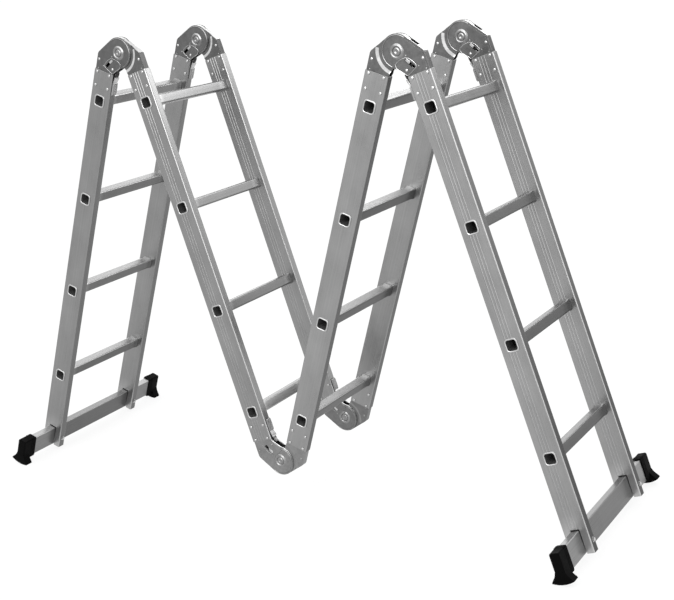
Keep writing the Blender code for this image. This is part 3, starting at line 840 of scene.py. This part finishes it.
def build_rungs():
    """One hollow rung, swaged on both faces of each stile, set sixteen times."""
    half = rung_stations()
    stations = [(-y, *rest) for y, *rest in half] + [(y, *rest) for y, *rest in reversed(half[:-1])]
    rings = []
    for y, size, corner, ribs in stations:
        rings.append(at_depth(rung_outline(size, corner, ribs), y))
    shape = loft(rings)
    for face in shape.faces:
        middle = face.calc_center_median()
        inside = max(abs(middle.x), abs(middle.z)) < 0.0128
        # The inside of the rung gets the dark bore metal: painted shade.
        if inside and abs(middle.y) < FACE + 0.0010 and face.normal.dot(Vector((middle.x, 0, middle.z))) < 0:
            face.material_index = RUNG_SHADED_BORE
        # The rims outside the stiles get a lighter metal: painted highlight.
        elif abs(middle.y) > FACE:
            face.material_index = RUNG_RIM_HIGHLIGHT
        # Upper and lower faces get the tread metal: painted light.
        elif abs(face.normal.z) > 0.75:
            face.material_index = RUNG_LIT_TREAD
        # Front and back flanks get the per-rung flank tones and the back flank metal: painted shade, and
        # painted light on some rungs.
        elif abs(face.normal.x) > 0.75 and abs(middle.y) < INSIDE:
            face.material_index = RUNG_SHADED_FLANK if face.normal.x > 0.0 else RUNG_SHADED_BACK
    for section in SECTIONS:
        for number, level in enumerate(rung_levels(section), 1):
            name = f"rung_{section}_{number}"
            matrix = FRAMES[section] @ Matrix.Translation((0, 0, -level))
            tone = FLANK_PAINTED_SHADING_TONES[section][number - 1]
            flank_shading = extruded_aluminium(f"rung_flank_{section}_{number}", tone, "y", RUNG_END_PAINTED_LIGHT)
            metals = [RUNG_METAL, BORE_PAINTED_SHADE, RIM_PAINTED_HIGHLIGHT, TREAD_PAINTED_LIGHT_METALS[section], flank_shading, BACK_PAINTED_SHADE]
            place(f"look_{name}", shape, matrix, f"section_{section}", metals, "aluminium", [name])
    shape.free()


# ------------------------------------------------------------ hinges


def panel_outline():
    """The raised keyhole panel round the lock bolt's window."""
    points = [(0.0500, 0.0262), (0.0440, 0.0230), (0.0380, 0.0206), (0.0300, 0.0194), (0.0210, 0.0196)]
    points += [(0.0145, 0.0226), (0.0086, 0.0278), (0.0040, 0.0345), (0.0008, 0.0405), (0.0000, 0.0440)]
    points += [(0.0014, 0.0472), (0.0070, 0.0500), (0.0170, 0.0542), (0.0262, 0.0578)]
    points += [(0.0300, 0.0576), (0.0346, 0.0522), (0.0400, 0.0460), (0.0462, 0.0398), (0.0500, 0.0345)]
    return points


def pivot_seat():
    """The dished ring pressed up round the pivot."""
    y = LEAF_Y
    return (
        (0.0070, y - 0.0010),
        (0.0186, y - 0.0010),
        (0.0182, y + 0.0003),
        (0.0170, y + 0.0012),
        (0.0150, y + 0.0024),
        (0.0132, y + 0.0028),
        (0.0118, y + 0.0024),
        (0.0106, y + 0.0013),
        (0.0100, y + 0.0003),
        (0.0070, y + 0.0002),
    )


def numbered(body):
    """Numbers a leaf's faces: crown and slanted wall, side wall, and edges on the fold side, which the
    hinge's metals give painted light and shade.
    """
    for face in body.faces:
        if abs(face.normal.z) < 0.5 and face.normal.y < -0.35:
            face.material_index = LEAF_BRIGHT_AND_HIGHLIGHT
        # The side wall is numbered for the dark zinc on top hinges: painted shade.
        elif abs(face.normal.z) < 0.5 and face.normal.x < -0.90:
            face.material_index = LEAF_WALL
        # Edges on the fold side are numbered for bright zinc on the lower hinge: painted light.
        elif abs(face.normal.z) < 0.8 and face.normal.y > 0.25:
            face.material_index = LEAF_FOLD_EDGE
    return body


def lock_shape():
    """A lock leaf in (u, v, y): two cheeks, the wall between, and their pressed relief."""
    body = softened(prism(lock_outline(), -LEAF_Y, LEAF_Y), 0.0013, 3)
    body = carved(body, prism(open_cavity(SHEET, LOCK_WALL_START), SHEET - LEAF_Y, LEAF_Y - SHEET))
    spacer = softened(prism(spacer_outline(), -SPACER_HALF, SPACER_HALF), 0.0003, 1)
    body = carved(body, spacer, "UNION")
    window = radial_box(WINDOW_NEAR_R, WINDOW_FAR_R, WINDOW_HALF)
    hole = circle(AXIS, PIVOT_HOLE_R, 24)
    body = carved(body, joined([prism(window, -THROUGH, THROUGH), prism(hole, -THROUGH, THROUGH)]))
    pieces = [(numbered(body), None)]
    for sign in (1, -1):
        flip = mirrored(sign)
        step = softened(prism(lock_outline(0.0046), LEAF_Y - 0.0008, LEAF_Y + 0.0010), 0.0009, 3)
        panel = softened(prism(panel_outline(), LEAF_Y - 0.0004, LEAF_Y + 0.0019), 0.0008, 3)
        step = carved(step, joined([prism(window, 0.0, THROUGH), prism(hole, 0.0, THROUGH)]))
        panel = carved(panel, prism(window, 0.0, THROUGH))
        seat = loft([at_height(circle(AXIS, radius, 36), y + 0.0005) for radius, y in pivot_seat()])
        lip = at_height(arc(AXIS, 0.0362, TANGENT, 0.9, 40), LEAF_Y + 0.0002)
        rim = at_height(panel_outline(), LEAF_Y + 0.0016)
        # The seat, the lip and the bead round the panel are given paler zinc numbers: painted highlights on
        # the pressed sheet.
        pieces += [
            (moved(step, flip), LEAF_PLATE),
            (moved(panel, flip), LEAF_PLATE),
            (moved(seat, flip), LEAF_SEAT),
            (moved(tube(lip, 0.0014), flip), LEAF_SEAT),
            (moved(tube(rim + rim[:1], 0.0006), flip), LEAF_BRIGHT_AND_HIGHLIGHT),
        ]
    pieces += rivets(0.0034, 0.0016, LEAF_Y + 0.0018, [LEVER_PIN], LEAF_BRIGHT_AND_HIGHLIGHT)
    level = LEAF_Y + 0.0010
    pieces += rivets(*SHOULDER_HEAD, level, [SHOULDER_RIVET], LEAF_BRIGHT_AND_HIGHLIGHT)
    small = [(0.0180, 0.0160), TONGUE_RIVET, (-0.0040, 0.0470)]
    pieces += rivets(*SMALL_HEAD, level, small, LEAF_SEAT, 14)
    return joined(pieces)


def plain_shape():
    """A plain leaf in (u, v, y), stepped in by a sloping arc to turn inside a lock leaf."""
    level = LEAF_Y - SHEET - INNER_GAP
    body = softened(prism(plain_outline(), -LEAF_Y, LEAF_Y), 0.0009, 2)
    slope = STEP_WIDTH / (LEAF_Y - level)
    rise = 0.006
    upper = [(CLEAR_LEFT, CLEAR_ABOVE), (CLEAR_RIGHT, CLEAR_ABOVE)]
    upper += [(CLEAR_RIGHT, STEP_END), (CLEAR_LEFT, STEP_END)]
    for sign in (1, -1):
        cone = bmesh.new()
        lift = Matrix.Translation((AXIS_OFFSET, 0.0, sign * (level + rise / 2)))
        bmesh.ops.create_cone(
            cone,
            cap_ends=True,
            segments=72,
            radius1=STEP_R,
            radius2=STEP_R + slope * rise,
            depth=rise,
            matrix=lift @ mirrored(sign),
        )
        bmesh.ops.recalc_face_normals(cone, faces=cone.faces)
        body = carved(body, cone)
        body = carved(body, moved(prism(upper, level, THROUGH), mirrored(sign)))
    cavity = open_cavity(SHEET + 0.0003, PLAIN_WALL_START)
    body = carved(body, prism(cavity, SHEET - level, level - SHEET))
    wall = level - SHEET / 2
    body = carved(body, prism(upper_wall(), -wall, wall), "UNION")
    body = carved(body, prism(wide_cavity(), SHEET - LEAF_Y, LEAF_Y - SHEET))
    body = carved(body, prism(circle(AXIS, PIVOT_HOLE_R, 24), -THROUGH, THROUGH))
    # The sloping arc's faces get a lighter metal: painted highlight.
    for face in body.faces:
        middle = face.calc_center_median()
        reach = math.hypot(middle.x - AXIS_OFFSET, middle.y)
        if 0.045 < reach < 0.056 and 0.80 < abs(face.normal.z) < 0.985:
            face.material_index = LEAF_SLOPE_HIGHLIGHT
    pieces = [(numbered(body), None)]
    pieces += rivets(*SHOULDER_HEAD, LEAF_Y, [SHOULDER_RIVET], LEAF_BRIGHT_AND_HIGHLIGHT)
    pieces += rivets(*SMALL_HEAD, LEAF_Y, [TONGUE_RIVET], LEAF_SEAT, 14)
    return joined(pieces)


def pivot_shape():
    """A rivet with a domed head and a punched centre on each side."""
    head = LEAF_Y + 0.0010
    upper = (
        (0.0, head + 0.0007),
        (0.0022, head + 0.0008),
        (0.0034, head + 0.0014),
        (0.0048, head + 0.0020),
        (0.0064, head + 0.0020),
        (0.0080, head + 0.0014),
        (0.0090, head + 0.0006),
        (0.0090, head + 0.0002),
        (0.0060, head + 0.0002),
    )
    profile = list(upper) + [(r, -y) for r, y in reversed(upper)]
    return turned(profile, AXIS, 36)


def lever_shape():
    """Arm and hook, bright bent plate, ribbed pull pad and the return spring."""
    arm = [(0.0112, 0.0388), (0.0137, 0.0350), (0.0210, 0.0386), (0.0285, 0.0425), (0.0335, 0.0455)]
    arm += [(0.0372, 0.0486), (0.0394, 0.0522), (0.0400, 0.0560), (0.0394, 0.0600), (0.0378, 0.0668)]
    arm += [(0.0352, 0.0700), (0.0325, 0.0700), (0.0345, 0.0650), (0.0345, 0.0600), (0.0326, 0.0568)]
    arm += [(0.0300, 0.0545), (0.0240, 0.0500)]
    hook = softened(prism(arm, -0.0041, 0.0041), 0.0007, 2)
    plate = [(0.0350, 0.0655), (0.0392, 0.0662), (0.0381, 0.0720), (0.0352, 0.0790), (0.0340, 0.0850)]
    plate += [(0.0318, 0.0850), (0.0324, 0.0775), (0.0340, 0.0715)]
    bright = softened(prism(plate, -0.0072, 0.0072), 0.0006, 2)
    pad = [(0.0316, 0.0820), (0.0350, 0.0822), (0.0363, 0.0845), (0.0367, 0.0980), (0.0363, 0.1120)]
    pad += [(0.0350, 0.1148), (0.0316, 0.1150)]
    pad = softened(prism(pad, -0.0080, 0.0080), 0.0008, 2)
    pieces = [(hook, LEVER_ARM), (bright, LEVER_BRIGHT), (pad, LEVER_PAD)]
    for i in range(6):
        v = 0.0880 + i * 0.0042
        rib = [(0.0355, v), (0.0372, v + 0.0004), (0.0372, v + 0.0016), (0.0355, v + 0.0020)]
        pieces.append((softened(prism(rib, -0.0066, 0.0066), 0.0003, 1), LEVER_PAD))
    pieces.append((prism(circle(LEVER_PIN, 0.0018, 16), -0.0068, 0.0068), LEVER_BRIGHT))
    turns, steps = 2.5, 40
    for sign in (1, -1):
        coil = []
        for i, (u, v) in enumerate(arc(LEVER_PIN, 0.0030, 0.0, math.tau * turns, steps)):
            coil.append(Vector((u, v, sign * (0.0046 + 0.0018 * i / steps))))
        pieces.append((tube(coil, 0.0004, 6), LEVER_BRIGHT))
    return joined(pieces)


def bolt_shape():
    """The bolt that slides in the window, as long as the hinge is thick."""
    half = LEAF_Y + 0.0014
    outline = radial_box(BOLT_NEAR_R, BOLT_FAR_R, BOLT_HALF)
    return softened(prism(outline, -half, half), 0.0006, 2)


def build_hinges():
    """Both leaves of each hinge, and with the lock leaf its pivot, lever and bolt."""
    shapes = {"lock": lock_shape(), "plain": plain_shape()}
    extras = {"pivot": pivot_shape(), "lever": lever_shape(), "bolt": bolt_shape()}
    for section, pivot, kind, side, top in LEAVES:
        for label, sign in SIDES:
            end = f"{pivot}_{label}"
            home = f"section_{section}"
            at = FRAMES[section]
            local = hinge_matrix(side, top, sign * MIDDLE)
            leaf = moved(shapes[kind].copy(), local)
            name = f"{kind}_leaf_{end}"
            plate = LEAF_PAINTED_SHADING_METALS[end]
            # On the lower hinge the crown, seat and sloping arc get paler zinc and the edges on the fold
            # side bright zinc: painted light.
            metals = [plate, PALE_ZINC_AND_PAINTED_LIGHT, PALE_ZINC_AND_PAINTED_LIGHT, plate, PALE_ZINC_AND_PAINTED_LIGHT, BRIGHT_ZINC_AND_PAINTED_HIGHLIGHT]
            if top:
                # On top hinges the crown and slanted wall get bright zinc as a painted highlight.
                metals = [plate, BRIGHT_ZINC_AND_PAINTED_HIGHLIGHT, PALE_ZINC_AND_PAINTED_LIGHT, SHADED_METAL, SLOPE_PAINTED_HIGHLIGHT, plate]
            place(f"look_{name}", leaf, at, home, metals, "zinc_steel", [name])
            if kind != "lock":
                continue
            # Levers on the lower hinge get the paler zinc instead of the dark coating: painted light.
            arm = LEVER_METAL if top else PALE_ZINC_AND_PAINTED_LIGHT
            for part, body, metals, slot in (
                ("pivot", home, [PALE_ZINC_AND_PAINTED_LIGHT], "zinc_steel"),
                ("lever", f"lever_{end}", [arm, BRIGHT_ZINC_AND_PAINTED_HIGHLIGHT, PAD_PLASTIC], "lever_steel"),
                ("bolt", f"bolt_{end}", [BRIGHT_ZINC_AND_PAINTED_HIGHLIGHT], "zinc_steel"),
            ):
                shape = moved(extras[part].copy(), local)
                place(f"look_{part}_{end}", shape, at, body, metals, slot, [f"{part}_{end}"])


# ------------------------------------------------------------ stabilisers


def bar_shape():
    """A hollow bar with rounded long edges."""
    half_x, half_z, corner = BAR_DEPTH / 2, BAR_HEIGHT / 2, 0.0022
    outer = rounded_box(half_x, half_z, corner)
    bore = rounded_box(half_x - BAR_WALL, half_z - BAR_WALL, 0.0008)
    end = BAR_HALF_LENGTH
    rings = ((outer, -end), (outer, end), (bore, end), (bore, -end))
    bar = loft([at_depth(ring, y) for ring, y in rings])
    # Upward faces get the lighter bar top metal: painted light.
    for face in bar.faces:
        if face.normal.z > 0.5 and face.calc_center_median().z > 0:
            face.material_index = BAR_LIT_TOP
    return moved(bar, Matrix.Translation((0, 0, -BAR_TOP - half_z)))


def sole_outline():
    """The flared sole in (x, z), with grooves across its tread."""
    points = []
    step = math.radians(7.5)
    pads = 6
    for i in range(pads):
        left = math.pi / 2 - 3 * step + i * step
        for share, depth in ((0.0, 0.0), (0.84, 0.0), (0.88, 0.0013), (0.96, 0.0013)):
            if i == pads - 1 and share > 0.5:
                continue
            chord = SOLE_R * math.cos(step / 2) / math.cos(step * (share - 0.5)) - depth
            angle = left + share * step
            points.append((chord * math.cos(angle), SOLE_CENTRE + chord * math.sin(angle)))
    angle = math.pi / 2 + 3 * step
    points.append((SOLE_R * math.cos(angle), SOLE_CENTRE + SOLE_R * math.sin(angle)))
    flare = [(-0.0262, 1.2178), (-0.0212, 1.2115), (-0.0168, 1.2062), (-0.0142, 1.2010), (-0.0125, 1.1960)]
    points += flare + [(-x, s) for x, s in reversed(flare)]
    return [(x, -s) for x, s in points]


def in_one_face(edge):
    """Whether a plate's edge lies in its upper or lower face."""
    return abs(edge.verts[0].co.z - edge.verts[1].co.z) < 1e-6


def foot_shape(sign):
    """Sleeve over the bar's end, closed outside, with three ribs and a flared sole."""
    half_y = (FOOT_OUTER - SOLE_INNER) / 2
    sole = softened(prism(sole_outline(), -half_y, half_y), 0.0009, 2, in_one_face)
    sole = moved(sole, Matrix.Translation((0, sign * (SOLE_INNER + FOOT_OUTER) / 2, 0)) @ ALONG_Y)
    half_z = (SLEEVE_BOTTOM - SLEEVE_TOP) / 2
    middle = -(SLEEVE_BOTTOM + SLEEVE_TOP) / 2
    stations = (
        (BAR_HALF_LENGTH + 0.0006, POCKET_HALF, 0.0284, 0.0010),
        (FOOT_INNER, POCKET_HALF, 0.0284, 0.0010),
        (FOOT_INNER, 0.0118, half_z - 0.0010, 0.0020),
        (FOOT_INNER + 0.0010, SLEEVE_HALF, half_z, 0.0040),
        (FOOT_OUTER - 0.0027, SLEEVE_HALF, half_z, 0.0040),
        (FOOT_OUTER - 0.0012, 0.0121, half_z - 0.0008, 0.0036),
        (FOOT_OUTER - 0.0004, 0.0104, half_z - 0.0026, 0.0028),
    )
    rings = []
    for y, half_x, half, corner in stations:
        rings.append(at_depth(rounded_box(half_x, half, corner), sign * y, middle))
    pieces = [sole, loft(rings, looped=False)]
    for i in range(3):
        y = FOOT_INNER + 0.0050 + i * 0.0055
        rings = []
        for depth, offset in ((0.0, -0.0009), (0.0006, -0.0005), (0.0006, 0.0005), (0.0, 0.0009)):
            outline = rounded_box(0.0127 + depth, half_z - 0.0001 + depth, 0.0028)
            rings.append(at_depth(outline, sign * (y + offset), middle))
        pieces.append(loft(rings, looped=False))
    return joined(pieces)


def screw_shape():
    """A hexagon head and washer that hold the bar in the stile's leg."""
    washer = turned(((0.0, -0.0004), (0.0062, -0.0004), (0.0062, 0.0008), (0.0, 0.0008)), steps=24)
    head = softened(prism(circle((0, 0), 0.0050, 6), 0.0008, 0.0046), 0.0005, 2)
    return joined([washer, head])


def build_stabilisers():
    """The bars at the feet of sections 1 and 4, with their rubber feet and screws."""
    bar = bar_shape()
    for section in (1, 4):
        home = f"section_{section}"
        metals = [BAR_PAINTED_SHADING_METALS[section], BAR_TOP_PAINTED_LIGHT]
        place(f"look_bar_{section}", bar, FRAMES[section], home, metals, "aluminium", [f"bar_{section}"])
        for label, sign in SIDES:
            foot = foot_shape(sign)
            name = f"foot_{section}_{label}"
            place(f"look_{name}", foot, FRAMES[section], home, [RUBBER], "rubber", [name])
            foot.free()
            spot = Matrix.Translation((STILE_DEPTH / 2, sign * MIDDLE, -SCREW_LEVEL))
            screw = moved(screw_shape(), spot @ Matrix.Rotation(math.pi / 2, 4, "Y"))
            place(f"screw_{section}_{label}", screw, FRAMES[section], home, [BRIGHT_ZINC_AND_PAINTED_HIGHLIGHT], "zinc_steel")
            screw.free()
    bar.free()


# ------------------------------------------------------------ stage


def area_light(name, spot, target, size, power):
    """A soft panel at a spot, facing a target."""
    data = bpy.data.lights.new(name, "AREA")
    data.shape = "RECTANGLE"
    data.size, data.size_y = size
    data.energy = power
    light = bpy.data.objects.new(name, data)
    light.location = spot
    light.rotation_euler = (Vector(target) - light.location).to_track_quat("-Z", "Y").to_euler()
    bpy.context.scene.collection.objects.link(light)


def soft_light(name, azimuth, height, strength):
    """A broad distant light; azimuth 0 is towards +Y and 90 towards +X."""
    data = bpy.data.lights.new(name, "SUN")
    data.energy = strength
    data.angle = math.radians(35)
    light = bpy.data.objects.new(name, data)
    a, e = math.radians(azimuth), math.radians(height)
    towards = Vector((math.sin(a) * math.cos(e), math.cos(a) * math.cos(e), math.sin(e)))
    light.rotation_euler = towards.to_track_quat("Z", "Y").to_euler()
    bpy.context.scene.collection.objects.link(light)


def build_stage():
    """White floor and world, and the studio's soft lights."""
    mesh = bpy.data.meshes.new("floor")
    bm = bmesh.new()
    bmesh.ops.create_grid(bm, x_segments=1, y_segments=1, size=40.0)
    bm.to_mesh(mesh)
    bm.free()
    mesh.materials.append(flat_stage("floor_white", 0.10, 0.87))
    floor = bpy.data.objects.new("floor", mesh)
    floor.location = (0, 0, -0.0004)
    bpy.context.scene.collection.objects.link(floor)
    world = bpy.data.worlds.new("studio")
    world.use_nodes = True
    background = world.node_tree.nodes["Background"]
    background.inputs["Color"].default_value = (1, 1, 1, 1)
    background.inputs["Strength"].default_value = 1.02
    bpy.context.scene.world = world
    for name, azimuth, height, strength in (
        ("soft_front", 180, 15, 0.93),
        ("soft_front_high", 180, 45, 0.89),
        ("soft_front_left", 225, 45, 0.61),
        ("soft_front_right", 135, 15, 0.48),
        ("soft_back_right", 45, 15, 0.34),
        ("soft_back_left", 315, 45, 0.32),
        ("soft_back_left_low", 315, 15, 0.26),
        ("soft_top", 0, 90, 0.165),
        ("soft_back", 0, 45, 0.14),
    ):
        soft_light(name, azimuth, height, strength)
    for name, spot, target, size, power in (
        ("panel_front", (0.2, -1.4, 1.6), (0.0, 0.0, 0.8), (0.8, 0.8), 7.6),
        ("panel_back", (0.45, 0.9, 1.7), (0.0, 0.0, 0.7), (0.8, 0.8), 4.4),
        ("panel_back_1", (0.1, 1.2, 1.8), (-0.3, 0.3, 1.8), (0.5, 0.55), 1.5),
        ("panel_back_2", (0.6, 1.2, 1.8), (0.2, 0.3, 1.8), (0.5, 0.55), 2.7),
        ("panel_back_3", (1.1, 1.2, 1.8), (0.7, 0.3, 1.8), (0.5, 0.55), 3.2),
        ("panel_back_4", (1.6, 1.2, 1.8), (1.2, 0.3, 1.8), (0.5, 0.55), 5.8),
        ("panel_top", (-0.9, 1.5, 1.8), (-0.5, 0.0, 0.6), (1.0, 0.7), 2.4),
    ):
        area_light(name, spot, target, size, power)


# The focal length is given in the same unit as the image's width.
SENSOR = 36.0
IMAGE_WIDTH = 674.0
FOCAL_LENGTH = 1259.46


def build_camera():
    """The camera, set by its axes and its distance from hinge pair A."""
    data = bpy.data.cameras.new("camera")
    data.sensor_fit = "HORIZONTAL"
    data.sensor_width = SENSOR
    data.lens = SENSOR * FOCAL_LENGTH / IMAGE_WIDTH
    camera = bpy.data.objects.new("camera", data)
    right = Vector((0.85238, 0.51930, -0.06147)).normalized()
    back = Vector((0.51400, -0.81039, 0.28121)).normalized()
    up = back.cross(right)
    turn = Matrix((right, up, back)).transposed().to_4x4()
    eye = PIVOTS["a"] + Vector((2.17378, -2.64056, 0.26436))
    camera.matrix_world = Matrix.Translation(eye) @ turn
    data.clip_start, data.clip_end = 0.05, 200.0
    bpy.context.scene.collection.objects.link(camera)
    bpy.context.scene.camera = camera


build_stiles()
build_rungs()
build_hinges()
build_stabilisers()
build_stage()
build_camera()
bpy.context.scene.view_settings.view_transform = "Standard"
